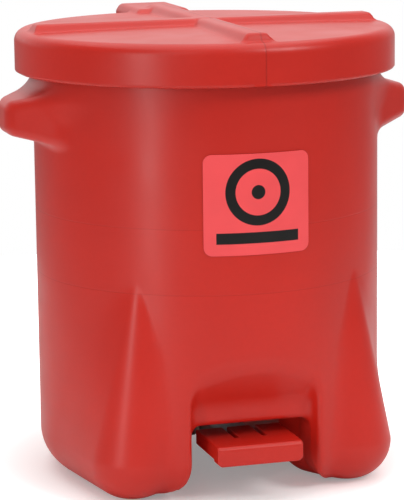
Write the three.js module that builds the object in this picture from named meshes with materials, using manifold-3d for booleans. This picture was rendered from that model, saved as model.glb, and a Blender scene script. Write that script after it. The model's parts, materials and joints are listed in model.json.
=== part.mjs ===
// Foot-operated waste can: a hollow moulded can on two splayed front feet, a hinged lid with raised
// ribs, and a pedal whose steel lever runs through a tunnel under the floor to a lift rod at the back.
// Millimetres, +Z up, front towards -Y. Shapes are laid out on the can's own axis, and the whole group
// is moved at the end so that its box is centred on the origin.
import * as THREE from "three";
import { ConvexGeometry } from "three/addons/geometries/ConvexGeometry.js";
import { mergeVertices } from "three/addons/utils/BufferGeometryUtils.js";
import Module from "manifold-3d";

// ---------------------------------------------------------------- driving dimensions
const WALL = 4; // moulded wall of the can and the lid
const GAP = 0.4; // clearance between pieces that touch
const ROUND_STEPS = 60; // facets around the can

// can
const BODY_R = 150;
const RIM_Z = 383.7; // top of the mouth, which the lid rests on
const LIP_R = 157;
const LIP_H = 6;
const BASE_ROUND = 36; // roll of the wall into the floor
const FOOT_X = 96;
const FOOT_Y = -94;
const FOOT_R = 40; // foot, where it is widest
const FOOT_TOP_R = 16; // foot, where it fades into the can
const FOOT_TOP_Z = 190;
const FOOT_WEB_Z = 133; // top of the flat webs from the feet to the can

// recess and tunnel for the pedal
const RECESS_HALF = 56;
const RECESS_Y = -125; // face that the tunnel opens in
const RECESS_EDGE_Z = 81; // where that face turns into the sloping ceiling
const RECESS_SLOPE = 1.45; // rise of the ceiling for each millimetre forward
const TUNNEL_HALF = 41.5;
const TUNNEL_H = 64;
const BOSS_H = 14; // solid pad on the tunnel, which takes the bracket's screws

// carrying ears
const EAR_X = 181.5;
const EAR_HALF = 20; // half width of the outer face
const EAR_ROOT_X = 135;
const EAR_ROOT_HALF = 60;
const EAR_Z = [305, 330]; // outer face
const EAR_ROOT_Z = [291, 352];

// lid
const LID_R = 165;
const LID_TOP_Z = 389.9;
const LID_CROWN = 2; // fall from the centre to the edge
const LID_SKIRT_Z = 352.7;
const LID_ROUND = 9;
const RIB_H = 6;
const RIB_TOP_HALF = 8;
const RIB_BASE_HALF = 13.5;
const RIB_REACH = 150; // end of a rib's top

// hinge at the back, and the hood of the lid over it
const HINGE_Y = 192;
const HINGE_Z = 365;
const PIN_R = 4;
const HOOD_HALF = 27;
const HOOD_TOP_HALF = 23;
const HOOD_FRONT_Y = 132;
const HOOD_BACK_Y = 205;
const HOOD_TOP_Z = 392.5;
const CHEEK = 6; // thickness of the hood's sides, which carry the pin
const EYE_R = 9;
const NOTCH_HALF = 20; // gap in the lip for the lift rod and its bracket

// lift linkage
const LIFT_ARM = 34; // hinge to the lift rod's upper end
const LIFT_START = 30; // degrees below level when shut, and above it when open
const PEDAL_TRAVEL = 11; // degrees
const ROD_R = 3;
const SLOT_SIDE = 1.1; // room on each side of the rod in its slot
const GUIDE_Z = 180;
const GUIDE_HALF = 24;
const GUIDE_H = 8; // half height

// pedal and lever
const PEDAL_HALF = 37.5;
const PEDAL_FRONT_Y = -152;
const PEDAL_BACK_Y = -86;
const PEDAL_TOP_Z = 51.4;
const PEDAL_LOW_Z = 34.4;
const TREAD = 9; // thickness of the pedal behind its front block
const BLOCK_DEPTH = 13; // front block of the pedal
const PIVOT_Z = 36;
const AXLE_R = 4;
const LEVER_HALF = 15;
const LEVER_EDGE = 8; // from the rod's or the axle's middle to the lever's edge
const LEVER_SEAT = 2.6; // how deep the lever is let into the tread
const SHEET = 2.5; // steel sheet of the brackets and the lever
const RIVET_HEAD_H = 2.2;
const RIVET_HOLE = 2.7;

// label
const LABEL_HALF_ANGLE = 17.6; // degrees
const LABEL_Z = [212.7, 296.8];
const LABEL_T = 0.5;
const LABEL_CORNER = 7;

// worked out from the above
const RAD = Math.PI / 180;
const liftStart = LIFT_START * RAD;
const ROD_Y = HINGE_Y - LIFT_ARM * Math.cos(liftStart);
const ROD_TOP_Z = HINGE_Z - LIFT_ARM * Math.sin(liftStart);
const halfTravel = (PEDAL_TRAVEL / 2) * RAD;
const LEVER_ARM = (LIFT_ARM * Math.sin(liftStart)) / Math.sin(halfTravel);
const PIVOT_Y = ROD_Y - LEVER_ARM * Math.cos(halfTravel);
const ROD_LOW_Z = PIVOT_Z - LEVER_ARM * Math.sin(halfTravel);

// ---------------------------------------------------------------- solids
const wasm = await Module();
wasm.setup();

function solid(geometry) {
  const bare = geometry.clone();
  bare.deleteAttribute("normal");
  bare.deleteAttribute("uv");
  const merged = mergeVertices(bare, 1e-4);
  return new wasm.Manifold(
    new wasm.Mesh({
      numProp: 3,
      vertProperties: new Float32Array(merged.attributes.position.array),
      triVerts: new Uint32Array(merged.index.array),
    }),
  );
}

const join = (...parts) => parts.reduce((a, b) => a.add(b));
const cut = (body, ...tools) => tools.reduce((a, b) => a.subtract(b), body);

function box(x, y, z) {
  const g = new THREE.BoxGeometry(x[1] - x[0], y[1] - y[0], z[1] - z[0]);
  return solid(g.translate((x[0] + x[1]) / 2, (y[0] + y[1]) / 2, (z[0] + z[1]) / 2));
}

// A profile of [radius, height] points, from the foot of the axis up, turned about Z.
function turned(profile, steps = ROUND_STEPS) {
  const points = profile.map(([r, z]) => new THREE.Vector2(r, z));
  return solid(new THREE.LatheGeometry(points, steps).rotateX(Math.PI / 2));
}

// A round bar along X, Y or Z through a point.
function bar(axis, at, from, to, radius, steps = 12) {
  const g = new THREE.CylinderGeometry(radius, radius, to - from, steps);
  if (axis === "x") g.rotateZ(Math.PI / 2);
  if (axis === "z") g.rotateX(Math.PI / 2);
  const middle = (from + to) / 2;
  const place = { x: [middle, ...at], y: [at[0], middle, at[1]], z: [...at, middle] };
  return solid(g.translate(...place[axis]));
}

// An outline in Y and Z, extruded along X.
function plate(shape, x0, x1) {
  const settings = { depth: x1 - x0, bevelEnabled: false, curveSegments: 6 };
  const g = new THREE.ExtrudeGeometry(shape, settings);
  g.applyMatrix4(new THREE.Matrix4().set(0, 0, 1, x0, 1, 0, 0, 0, 0, 1, 0, 0, 0, 0, 0, 1));
  return solid(g);
}

const outline = (points) => new THREE.Shape(points.map(([a, b]) => new THREE.Vector2(a, b)));
const hull = (points) => solid(new ConvexGeometry(points));

// The hole for a pin of a radius, through everything near the middle plane, at [y, z].
const pinHole = (at, radius) => bar("x", at, -40, 40, radius + GAP);

// The span from x0 to x1 on one side of the middle plane.
const onSide = (side, x0, x1) => (side > 0 ? [x0, x1] : [-x1, -x0]);

function ring(cx, cy, r, z, steps) {
  return Array.from({ length: steps }, (_, i) => {
    const a = (i / steps) * 2 * Math.PI;
    return new THREE.Vector3(cx + r * Math.cos(a), cy + r * Math.sin(a), z);
  });
}

// A ring sector centred on the front (-Y) or the back (+Y) of the can, from z0 to z1.
function sector(r0, r1, halfAngle, z0, z1, facing, steps = 12) {
  const arc = (r, i) => {
    const a = ((2 * i) / steps - 1) * halfAngle;
    return [r * Math.sin(a), facing * r * Math.cos(a)];
  };
  const inner = Array.from({ length: steps + 1 }, (_, i) => arc(r0, i));
  const outer = Array.from({ length: steps + 1 }, (_, i) => arc(r1, steps - i));
  const settings = { depth: z1 - z0, bevelEnabled: false };
  const g = new THREE.ExtrudeGeometry(outline([...inner, ...outer]), settings);
  return solid(g.translate(0, 0, z0));
}

// ---------------------------------------------------------------- can
// The can's form, drawn in by t: the outside with t = 0, and the hollow with t = WALL.
function roll(r, t) {
  const steps = 5;
  return Array.from({ length: steps + 1 }, (_, i) => {
    const a = (i / steps - 1) * (Math.PI / 2);
    const reach = BASE_ROUND - t;
    return [r - BASE_ROUND + reach * Math.cos(a), BASE_ROUND + reach * Math.sin(a)];
  });
}

function barrel(t) {
  const top = t > 0 ? RIM_Z + 10 : RIM_Z;
  return turned([[0, t], ...roll(BODY_R, t), [BODY_R - t, top], [0, top]]);
}

function foot(side, t) {
  const profile = [[0, t], ...roll(FOOT_R, t), [FOOT_TOP_R - t, FOOT_TOP_Z], [0, FOOT_TOP_Z]];
  return turned(profile, 24).translate([side * FOOT_X, FOOT_Y, 0]);
}

// The flat web between a foot and the can. It starts a little inside both, so that no faces coincide.
function footWeb(side, t) {
  const inside = t + 0.3;
  const points = ring(0, 0, BODY_R - inside, FOOT_WEB_Z, ROUND_STEPS);
  for (const [r, z] of roll(BODY_R, inside)) points.push(...ring(0, 0, r, z, ROUND_STEPS));
  for (const [r, z] of roll(FOOT_R, inside)) points.push(...ring(side * FOOT_X, FOOT_Y, r, z, 24));
  return hull(points);
}

function ear(side, t) {
  const face = (x, half, [low, high], lean) => {
    const y = half - t * 0.6;
    const heights = [low + t * lean, high - t * lean];
    return [y, -y].flatMap((v) => heights.map((z) => new THREE.Vector3(side * x, v, z)));
  };
  return hull([
    ...face(EAR_X - t, EAR_HALF, EAR_Z, 0.6),
    ...face(EAR_ROOT_X - t, EAR_ROOT_HALF, EAR_ROOT_Z, 1.2),
  ]);
}

function pedalSpace(t) {
  const slant = t * Math.hypot(1, RECESS_SLOPE);
  const front = -200;
  const edge = RECESS_Y + t;
  const ceiling = (y) => RECESS_EDGE_Z + RECESS_SLOPE * (RECESS_Y - y) + slant;
  const recess = outline([[edge, -10], [edge, ceiling(edge)], [front, ceiling(front)], [front, -10]]);
  const tunnel = box([-TUNNEL_HALF - t, TUNNEL_HALF + t], [-190, 190], [-10, TUNNEL_H + t]);
  return join(plate(recess, -RECESS_HALF - t, RECESS_HALF + t), tunnel);
}

function form(t) {
  const sides = [-1, 1].flatMap((side) => [foot(side, t), footWeb(side, t), ear(side, t)]);
  return cut(join(barrel(t), ...sides), pedalSpace(t));
}

const BOSS_HALF = 30;
const BOSS_Y = [PIVOT_Y - 30, PIVOT_Y + 30];
const bracketScrews = [-1, 1].flatMap((sx) => [-1, 1].map((sy) => [sx * 10, PIVOT_Y + sy * 20]));
const hingeRivets = [-1, 1].flatMap((side) => [309, 331].map((z) => ({ angle: 8.4 * side * RAD, z })));
const guideRivets = [-1, 1].map((side) => ({ angle: 6.6 * side * RAD, z: GUIDE_Z }));

// A rivet's hole straight through the can's back wall, at an angle round it.
const wallHole = ({ angle, z }) =>
  bar("y", [0, z], BODY_R - 12, BODY_R + 8, RIVET_HOLE).rotate([0, 0, -angle / RAD]);

function canBody() {
  const lip = turned([
    [BODY_R - WALL / 2, RIM_Z - LIP_H - 8], [BODY_R, RIM_Z - LIP_H - 8], [LIP_R - 1.5, RIM_Z - LIP_H],
    [LIP_R, RIM_Z - LIP_H + 1.5], [LIP_R, RIM_Z - 1.5], [LIP_R - 1.5, RIM_Z], [BODY_R - WALL / 2, RIM_Z],
    [BODY_R - WALL / 2, RIM_Z - LIP_H - 8],
  ]);
  const inWall = turned([[0, 330], [BODY_R, 330], [BODY_R, 410], [0, 410]]);
  const notch = cut(box([-NOTCH_HALF, NOTCH_HALF], [100, 200], [340, 400]), inWall);
  const boss = box([-BOSS_HALF, BOSS_HALF], BOSS_Y, [TUNNEL_H + 1, TUNNEL_H + BOSS_H]);
  const shell = join(cut(form(0), form(WALL)), lip, boss);
  const holes = [
    ...bracketScrews.map((at) => bar("z", at, TUNNEL_H - 5, TUNNEL_H + 10.5, 2.3)),
    ...[...hingeRivets, ...guideRivets].map(wallHole),
  ];
  return cut(shell, notch, ...holes);
}

function label() {
  const half = LABEL_HALF_ANGLE * RAD;
  const width = BODY_R * Math.sin(half);
  const [low, high] = LABEL_Z;
  const past = half + 0.02; // a little wider than the outline that trims it
  const skin = sector(BODY_R + GAP, BODY_R + GAP + LABEL_T, past, low, high, -1, 16);
  const c = LABEL_CORNER;
  const shape = new THREE.Shape();
  shape.moveTo(-width + c, low).lineTo(width - c, low).absarc(width - c, low + c, c, -Math.PI / 2, 0);
  shape.lineTo(width, high - c).absarc(width - c, high - c, c, 0, Math.PI / 2);
  shape.lineTo(-width + c, high).absarc(-width + c, high - c, c, Math.PI / 2, Math.PI);
  shape.lineTo(-width, low + c).absarc(-width + c, low + c, c, Math.PI, 1.5 * Math.PI);
  const g = new THREE.ExtrudeGeometry(shape, { depth: 40, bevelEnabled: false, curveSegments: 5 });
  return skin.intersect(solid(g.rotateX(Math.PI / 2).translate(0, -BODY_R + 30, 0)));
}

// ---------------------------------------------------------------- hinge bracket
const ARM_IN = HOOD_HALF + 2;
const ARM_OUT = ARM_IN + SHEET;
const BRACKET_Z = [296, 344];

function hingeBracket() {
  const plateR = BODY_R + GAP;
  const halfAngle = Math.asin(ARM_OUT / (plateR + SHEET));
  const back = sector(plateR, plateR + SHEET, halfAngle, ...BRACKET_Z, 1, 8);
  const root = plateR * Math.cos(halfAngle) + 1.5;
  const eye = new THREE.Shape();
  eye.moveTo(root, BRACKET_Z[0]).lineTo(root, BRACKET_Z[1]);
  eye.lineTo(HINGE_Y - EYE_R - 4, BRACKET_Z[1] + 1);
  eye.lineTo(HINGE_Y - EYE_R, HINGE_Z).absarc(HINGE_Y, HINGE_Z, EYE_R, Math.PI, 0, true);
  eye.lineTo(HINGE_Y + EYE_R, HINGE_Z - 16).lineTo(root + 14, BRACKET_Z[0]).closePath();
  const arms = [-1, 1].map((side) => plate(eye, ...onSide(side, ARM_IN, ARM_OUT)));
  return cut(join(back, ...arms), pinHole([HINGE_Y, HINGE_Z], PIN_R), ...hingeRivets.map(wallHole));
}

// A blind rivet along Y: a domed head outside, a shank and a rolled tail inside.
function rivet(grip, head) {
  const shank = 2.3;
  const tail = 3.9;
  return turned([
    [0, -grip - 3], [tail - 1, -grip - 3], [tail, -grip - 2], [tail, -grip - GAP], [shank, -grip - GAP],
    [shank, GAP], [head, GAP], [head, 0.9], [head * 0.6, RIVET_HEAD_H - 0.3], [0, RIVET_HEAD_H],
  ], 12).rotate([-90, 0, 0]);
}

// ---------------------------------------------------------------- lift rod's guide on the can
function rodGuide() {
  const r = BODY_R + GAP;
  const z = [GUIDE_Z - GUIDE_H, GUIDE_Z + GUIDE_H];
  const back = sector(r, r + SHEET, Math.asin(GUIDE_HALF / r), ...z, 1, 6);
  const y = ROD_Y + LEVER_ARM * (1 - Math.cos(halfTravel)) / 2;
  const side = ROD_R + 1.5;
  const deep = ROD_R + 2.2;
  const loop = box([-9, 9], [r + 1, y + 8], z);
  const way = box([-side, side], [y - deep, y + deep], [z[0] - 2, z[1] + 2]);
  return cut(join(back, cut(loop, way)), ...guideRivets.map(wallHole));
}

// ---------------------------------------------------------------- pedal bracket
const EAR_IN = LEVER_HALF + 3.5;
const EAR_OUT = EAR_IN + SHEET;
const BRACKET_TOP = TUNNEL_H - GAP;

function pedalBracket() {
  const base = box([-27, 27], [PIVOT_Y - 26, PIVOT_Y + 26], [BRACKET_TOP - SHEET, BRACKET_TOP]);
  const side = new THREE.Shape();
  side.moveTo(PIVOT_Y + 16, BRACKET_TOP - 1).lineTo(PIVOT_Y - 16, BRACKET_TOP - 1);
  side.lineTo(PIVOT_Y - EYE_R, PIVOT_Z);
  side.absarc(PIVOT_Y, PIVOT_Z, EYE_R, Math.PI, 2 * Math.PI, false).closePath();
  const ears = [-1, 1].map((sx) => plate(side, ...onSide(sx, EAR_IN, EAR_OUT)));
  const holes = bracketScrews.map((at) => bar("z", at, BRACKET_TOP - 10, BRACKET_TOP + 5, 2.6));
  return cut(join(base, ...ears), pinHole([PIVOT_Y, PIVOT_Z], AXLE_R), ...holes);
}

// A pan-head screw that points up, with its head below.
function screw(length, shank = 2, head = 4.2) {
  return turned([
    [0, -2.6], [head * 0.7, -2.6], [head, -1.4], [head, -GAP], [shank, -GAP], [shank, length - 2], [0.6, length],
    [0, length],
  ], 12);
}

// A spring washer pushed on the end of a pin along X.
function pushNut(radius) {
  const ringShape = [
    [radius + GAP, 0], [radius + 3.4, 0], [radius + 3.4, 0.8], [radius + 1.8, 1.8], [radius + GAP, 1.8],
    [radius + GAP, 0],
  ];
  return turned(ringShape, 12).rotate([0, 90, 0]);
}

// ---------------------------------------------------------------- lever, pedal
const leverScrews = [[0, -128], [0, -100]];

// The lever from the side. The outside has t and open = 0. The hollow is drawn in by the sheet's
// thickness t at the top, and runs out by open at the front and below.
function leverSide(t, open) {
  const seat = PEDAL_TOP_Z - TREAD + LEVER_SEAT;
  const front = PEDAL_FRONT_Y + BLOCK_DEPTH - 1 - open;
  const rear = ROD_Y + LEVER_EDGE;
  return outline([
    [rear, ROD_LOW_Z + LEVER_EDGE - t], [PIVOT_Y, PIVOT_Z + LEVER_EDGE + 1.5 - t],
    [PIVOT_Y - 40, seat - t], [front, seat - t], [front, seat - 9 - open],
    [PIVOT_Y - 42, seat - 14 - open], [PIVOT_Y, PIVOT_Z - LEVER_EDGE - open],
    [rear, ROD_LOW_Z - LEVER_EDGE - open],
  ]);
}

function leverArm() {
  const channel = [-LEVER_HALF + SHEET, LEVER_HALF - SHEET];
  return cut(
    plate(leverSide(0, 0), -LEVER_HALF, LEVER_HALF),
    plate(leverSide(SHEET, 30), ...channel),
    box(channel, [ROD_Y - 22, ROD_Y + 30], [0, 60]), // the fork at the rod
    pinHole([PIVOT_Y, PIVOT_Z], AXLE_R),
    pinHole([ROD_Y, ROD_LOW_Z], ROD_R),
    ...leverScrews.map((at) => bar("z", at, 30, 60, 2.4)),
  );
}

function footPedal() {
  const top = PEDAL_TOP_Z;
  const low = PEDAL_LOW_Z;
  const y = PEDAL_FRONT_Y;
  const block = y + BLOCK_DEPTH;
  const skirt = top - TREAD - 6;
  const shape = outline([
    [y, low + 2], [y + 2, low], [block, low], [block, skirt], [PEDAL_BACK_Y, skirt],
    [PEDAL_BACK_Y, top], [y + 2.5, top], [y, top - 2.5],
  ]);
  const seat = LEVER_HALF + GAP;
  const pocket = box([-seat, seat], [block - 1.6, 0], [0, top - TREAD + LEVER_SEAT + GAP]);
  const under = [-1, 1].map((side) =>
    box(onSide(side, LEVER_HALF + 4, PEDAL_HALF - WALL), [block + 3, PEDAL_BACK_Y - 4], [0, top - TREAD + 3]));
  const slots = [-12, 13].map((x) => box([x - 2, x + 2], [-123, 0], [top - 3.2, top + 1]));
  const chamfer = [-1, 1].map((side) =>
    box([-3, 3], [y - 1, block + 1], [-3, 3]).rotate([0, 45, 0]).translate([side * PEDAL_HALF, 0, low]));
  const pilots = leverScrews.map((at) => bar("z", at, 40, top - 2, 2.3));
  return cut(plate(shape, -PEDAL_HALF, PEDAL_HALF), pocket, ...under, ...slots, ...chamfer, ...pilots);
}

function pivotBush() {
  const r = AXLE_R + GAP;
  return turned([[r, 0], [r + 4, 0], [r + 4, 2.7], [r, 2.7], [r, 0]], 12).rotate([0, 90, 0]);
}

// ---------------------------------------------------------------- lift rod
const LEG_IN = 8; // legs of the lift bracket, which the rod's upper end reaches through
const LEG_OUT = LEG_IN + SHEET;

function liftRod() {
  const knuckle = (z) => solid(new THREE.SphereGeometry(ROD_R, 12, 8).translate(0, ROD_Y, z));
  return join(
    bar("z", [0, ROD_Y], ROD_LOW_Z, ROD_TOP_Z, ROD_R),
    bar("x", [ROD_Y, ROD_LOW_Z], 0, LEVER_HALF + 5, ROD_R),
    bar("x", [ROD_Y, ROD_TOP_Z], 0, LEG_OUT + 5, ROD_R),
    knuckle(ROD_LOW_Z),
    knuckle(ROD_TOP_Z),
  );
}

// ---------------------------------------------------------------- lid
const dip = (r) => LID_TOP_Z - LID_CROWN * (r / LID_R) ** 2;

// The lid's form, drawn in by t: the outside with t = 0, and the hollow with t = WALL.
function lidDome(t) {
  const low = t > 0 ? LID_SKIRT_Z - 10 : LID_SKIRT_Z;
  const edge = LID_R - LID_ROUND;
  const arc = [0, 1, 2, 3].map((i) => {
    const a = (i / 3) * (Math.PI / 2);
    const reach = LID_ROUND - t;
    return [edge + reach * Math.cos(a), dip(edge) - LID_ROUND + reach * Math.sin(a)];
  });
  return turned([[0, low], [LID_R - t, low], ...arc, [edge / 2, dip(edge / 2) - t], [0, dip(0) - t]]);
}

function rib(turn, t) {
  const low = LID_TOP_Z - LID_CROWN - 8;
  const top = LID_TOP_Z + RIB_H - 0.6 - t;
  const spread = (RIB_BASE_HALF - RIB_TOP_HALF) / RIB_H;
  const half = (z) => RIB_TOP_HALF - t * 0.55 + (LID_TOP_Z + RIB_H - z) * spread;
  const points = [[low, half(low)], [top, half(top)]].flatMap(([z, h]) =>
    [-1, 1].flatMap((s) => [
      new THREE.Vector3(s * h, 0, z),
      new THREE.Vector3(s * h, -RIB_REACH - (top - z) * 0.55 + t * 0.8, z),
    ]));
  return hull(points).rotate([0, 0, turn]);
}

function hood(t) {
  const top = HOOD_TOP_Z - t;
  const back = HOOD_BACK_Y - t;
  const spread = HOOD_HALF - HOOD_TOP_HALF;
  const half = HOOD_HALF - (t > 0 ? CHEEK : 0);
  const level = (z, h, y0, y1) => [-1, 1].flatMap((s) => [y0, y1].map((y) => new THREE.Vector3(s * h, y, z)));
  return hull([
    ...level(HINGE_Z - (t > 0 ? 30 : 0), half, HOOD_FRONT_Y + 30, back),
    ...level(top - 5, half, HOOD_FRONT_Y + t - (t > 0 ? 0 : 5), back),
    ...level(top, half - spread, HOOD_FRONT_Y + t, back - 4),
  ]);
}

function cheek(side) {
  const shape = new THREE.Shape();
  const inner = LID_R - 8;
  const top = LID_TOP_Z - 10;
  shape.moveTo(inner, top).lineTo(inner, LID_SKIRT_Z + 4).lineTo(HINGE_Y - 3, HINGE_Z - EYE_R + 0.4);
  shape.absarc(HINGE_Y, HINGE_Z, EYE_R - 2, -Math.PI / 2, 0).lineTo(HOOD_BACK_Y, top).closePath();
  return plate(shape, ...onSide(side, HOOD_HALF - CHEEK, HOOD_HALF));
}

const liftRivets = [-15.5, 15.5].map((x) => [x, HINGE_Z + 14]);
const liftHole = ([x, z]) => bar("y", [x, z], HOOD_BACK_Y - 25, HOOD_BACK_Y + 5, RIVET_HOLE);

function lidShell() {
  const ribs = (t) => [0, 90, 180, 270].map((turn) => rib(turn, t));
  const clear = LID_R - WALL;
  const rimClear = turned([[0, 340], [clear, 340], [clear, RIM_Z - 3.2], [0, RIM_Z - 3.2]]);
  const outside = join(lidDome(0), ...ribs(0), hood(0));
  const inside = join(lidDome(WALL), ...ribs(WALL), hood(WALL), rimClear);
  return cut(
    join(cut(outside, inside), cheek(-1), cheek(1)),
    pinHole([HINGE_Y, HINGE_Z], PIN_R),
    ...liftRivets.map(liftHole),
  );
}

// ---------------------------------------------------------------- lift bracket in the hood
function liftBracket() {
  const backY = HOOD_BACK_Y - WALL - GAP;
  const low = HINGE_Z + 8.5;
  const high = HINGE_Z + 18.4;
  const plateBack = box([-19.6, 19.6], [backY - SHEET, backY], [low, high]);
  const eyeR = 8;
  const tipR = 6.3;
  const dir = Math.PI + liftStart;
  const tip = [HINGE_Y + LIFT_ARM * Math.cos(dir), HINGE_Z + LIFT_ARM * Math.sin(dir)];
  const shape = new THREE.Shape();
  shape.absarc(...tip, tipR, dir - Math.PI / 2, dir + Math.PI / 2);
  shape.absarc(HINGE_Y, HINGE_Z, eyeR, dir + Math.PI / 2, -0.2);
  shape.lineTo(backY - 0.5, low + 0.5).lineTo(backY - 0.5, high - 0.5);
  shape.lineTo(backY - 12, high - 0.5).closePath();
  const legs = [-1, 1].map((side) => plate(shape, ...onSide(side, LEG_IN, LEG_OUT)));
  const slotInner = LIFT_ARM * Math.cos(liftStart) - LEVER_ARM * (1 - Math.cos(halfTravel)) - SLOT_SIDE;
  const slotHalf = ROD_R + SLOT_SIDE;
  const slot = new THREE.Shape();
  const along = (r) => [HINGE_Y + r * Math.cos(dir), HINGE_Z + r * Math.sin(dir)];
  slot.absarc(...along(LIFT_ARM + 0.2), slotHalf, dir - Math.PI / 2, dir + Math.PI / 2);
  slot.absarc(...along(slotInner), slotHalf, dir + Math.PI / 2, dir + 1.5 * Math.PI).closePath();
  return cut(
    join(plateBack, ...legs),
    plate(slot, -20, 20),
    pinHole([HINGE_Y, HINGE_Z], PIN_R),
    ...liftRivets.map(liftHole),
  );
}

// ---------------------------------------------------------------- assembly
const finishes = {
  red: new THREE.MeshStandardMaterial({ color: 0xc8302a, roughness: 0.5, metalness: 0 }),
  coral: new THREE.MeshStandardMaterial({ color: 0xf4585c, roughness: 0.45, metalness: 0 }),
  zinc: new THREE.MeshStandardMaterial({ color: 0xb9bcc0, roughness: 0.35, metalness: 1 }),
  nylon: new THREE.MeshStandardMaterial({ color: 0xe9e6dc, roughness: 0.5, metalness: 0 }),
};

const can = new THREE.Group();

function piece(name, body, finish) {
  const { numProp, vertProperties, triVerts } = body.getMesh();
  const values = new THREE.InterleavedBuffer(vertProperties, numProp);
  const g = new THREE.BufferGeometry();
  g.setAttribute("position", new THREE.InterleavedBufferAttribute(values, 3, 0));
  g.setIndex(new THREE.BufferAttribute(triVerts, 1));
  const mesh = new THREE.Mesh(g.toNonIndexed(), finishes[finish]);
  mesh.geometry.computeVertexNormals();
  mesh.name = name;
  can.add(mesh);
  return mesh;
}

// Rivets through the can's back wall, each in a node of its own.
function wallRivets(name, places, head) {
  const r = BODY_R + GAP + SHEET;
  places.forEach(({ angle, z }, i) => {
    const m = piece(name + (i + 1), rivet(SHEET + WALL + GAP, head), "zinc");
    m.position.set(r * Math.sin(angle), r * Math.cos(angle), z);
    m.rotation.z = -angle;
  });
}

piece("can_body", canBody(), "red");
piece("label", label(), "coral");
piece("hinge_bracket", hingeBracket(), "zinc");
wallRivets("hinge_bracket_rivet_", hingeRivets, 5);
piece("rod_guide", rodGuide(), "zinc");
wallRivets("rod_guide_rivet_", guideRivets, 3.6);
piece("pedal_bracket", pedalBracket(), "zinc");
bracketScrews.forEach(([x, y], i) => {
  piece("pedal_bracket_screw_" + (i + 1), screw(12), "zinc").position.set(x, y, BRACKET_TOP - SHEET);
});
const AXLE_HALF = EAR_OUT + 4;
piece("pedal_axle", bar("x", [PIVOT_Y, PIVOT_Z], -AXLE_HALF, AXLE_HALF, AXLE_R), "zinc");

piece("lid_shell", lidShell(), "red");
piece("lift_bracket", liftBracket(), "zinc");
liftRivets.forEach(([x, z], i) => {
  piece("lift_bracket_rivet_" + (i + 1), rivet(WALL + SHEET + GAP, 5), "zinc").position.set(x, HOOD_BACK_Y, z);
});
const PIN_HALF = ARM_OUT + 4;
piece("hinge_pin", bar("x", [HINGE_Y, HINGE_Z], -PIN_HALF, PIN_HALF, PIN_R), "zinc");

piece("foot_pedal", footPedal(), "red");
piece("lever_arm", leverArm(), "zinc");
leverScrews.forEach(([x, y], i) => {
  piece("lever_screw_" + (i + 1), screw(6.2), "zinc").position.set(x, y, PEDAL_TOP_Z - TREAD);
});

piece("lift_rod", liftRod(), "zinc");

for (const [name, side] of [["left", -1], ["right", 1]]) {
  const outward = side > 0 ? 0 : Math.PI;
  const nut = piece("hinge_pin_nut_" + name, pushNut(PIN_R), "zinc");
  nut.position.set(side * (ARM_OUT + GAP), HINGE_Y, HINGE_Z);
  nut.rotation.z = outward;
  const clip = piece("pedal_axle_nut_" + name, pushNut(AXLE_R), "zinc");
  clip.position.set(side * (EAR_OUT + GAP), PIVOT_Y, PIVOT_Z);
  clip.rotation.z = outward;
  const bush = piece("pivot_bush_" + name, pivotBush(), "nylon");
  bush.position.set(side * (LEVER_HALF + GAP), PIVOT_Y, PIVOT_Z);
  bush.rotation.z = outward;
}
piece("lift_rod_nut_lower", pushNut(ROD_R), "zinc").position.set(LEVER_HALF + GAP, ROD_Y, ROD_LOW_Z);
piece("lift_rod_nut_upper", pushNut(ROD_R), "zinc").position.set(LEG_OUT + GAP, ROD_Y, ROD_TOP_Z);

// The box runs from the lid's front edge to the heads of the rivets behind the hood.
can.position.y = -(HOOD_BACK_Y + RIVET_HEAD_H - LID_R) / 2;

const part = new THREE.Group();
part.add(can);
export default part;
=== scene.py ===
# A foot-operated waste can with a hinged lid, as a Blender add-on that builds each piece around its frame.
# Metres, +Z up, front towards -Y.
import json
import math

import bmesh
import bpy
import numpy as np
from bpy.props import FloatProperty, FloatVectorProperty, IntProperty, PointerProperty
from mathutils import Matrix, Vector


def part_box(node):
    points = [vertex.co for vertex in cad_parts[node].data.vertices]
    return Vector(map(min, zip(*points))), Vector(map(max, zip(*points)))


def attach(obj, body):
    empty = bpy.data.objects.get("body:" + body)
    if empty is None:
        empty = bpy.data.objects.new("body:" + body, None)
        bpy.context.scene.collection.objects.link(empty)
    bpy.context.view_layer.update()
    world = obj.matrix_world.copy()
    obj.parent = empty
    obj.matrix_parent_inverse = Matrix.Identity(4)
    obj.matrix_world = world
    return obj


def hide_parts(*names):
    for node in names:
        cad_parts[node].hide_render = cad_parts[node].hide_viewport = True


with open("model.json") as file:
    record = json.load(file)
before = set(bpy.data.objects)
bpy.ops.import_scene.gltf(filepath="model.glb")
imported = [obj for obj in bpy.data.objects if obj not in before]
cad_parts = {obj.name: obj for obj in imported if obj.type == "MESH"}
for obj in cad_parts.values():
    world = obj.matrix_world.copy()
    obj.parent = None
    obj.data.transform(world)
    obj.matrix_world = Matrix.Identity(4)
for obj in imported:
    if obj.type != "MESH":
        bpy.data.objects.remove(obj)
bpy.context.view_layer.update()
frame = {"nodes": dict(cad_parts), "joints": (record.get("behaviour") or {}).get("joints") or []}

bl_info = {
    "name": "Foot-Operated Waste Can",
    "version": (1, 0, 0),
    "blender": (4, 5, 0),
    "location": "View3D > Sidebar > Waste Can",
    "description": "Builds a moulded waste can with a hinged lid, a pedal and its lift linkage",
    "category": "Add Mesh",
}


def linear(code):
    """Turns an sRGB hex colour into the linear values that shaders take."""
    parts = [int(code[i:i + 2], 16) / 255 for i in (1, 3, 5)]
    return tuple(c / 12.92 if c <= 0.04045 else ((c + 0.055) / 1.055) ** 2.4 for c in parts)


def length(name, description, default):
    """A size in metres."""
    return FloatProperty(name=name, description=description, default=default, min=0.0, unit="LENGTH")


def angle(name, description, degrees):
    """A turn, given in degrees."""
    return FloatProperty(name=name, description=description, default=math.radians(degrees), subtype="ANGLE")


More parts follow.
